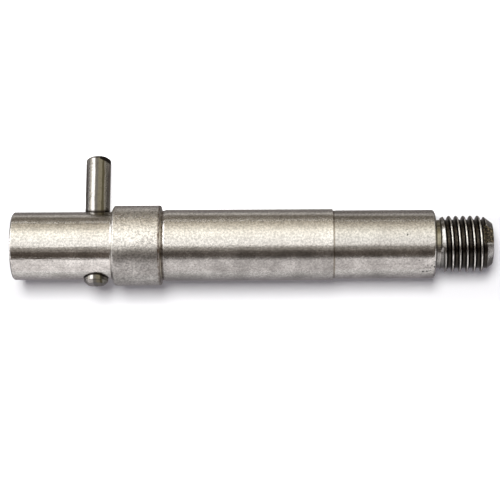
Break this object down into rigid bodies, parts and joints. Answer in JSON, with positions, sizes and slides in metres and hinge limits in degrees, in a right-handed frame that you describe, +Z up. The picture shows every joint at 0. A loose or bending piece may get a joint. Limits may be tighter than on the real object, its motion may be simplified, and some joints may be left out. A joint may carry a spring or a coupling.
{
  "type": "stepped drive shaft with cross pin",
  "caption": "Turned steel shaft with a collar, ground bearing journals, a threaded end and a drive pin pressed across its spigot.",
  "frame": {"origin": "on the shaft's axis, in the middle of the main journal", "axes": "+X along the shaft's axis towards the threaded end, +Z up as the part lies at rest, +Y to the side that the pin's long end leans to"},
  "size_m": [0.1344, 0.0365, 0.0229],
  "materials": {
    "turned_steel": "turned and ground, satin, with a polished spigot",
    "pin_steel": "drawn and slightly browned"
  },
  "bodies": {
    "root": {"shaft": "turned_steel", "drive_pin": "pin_steel"}
  },
  "joints": []
}
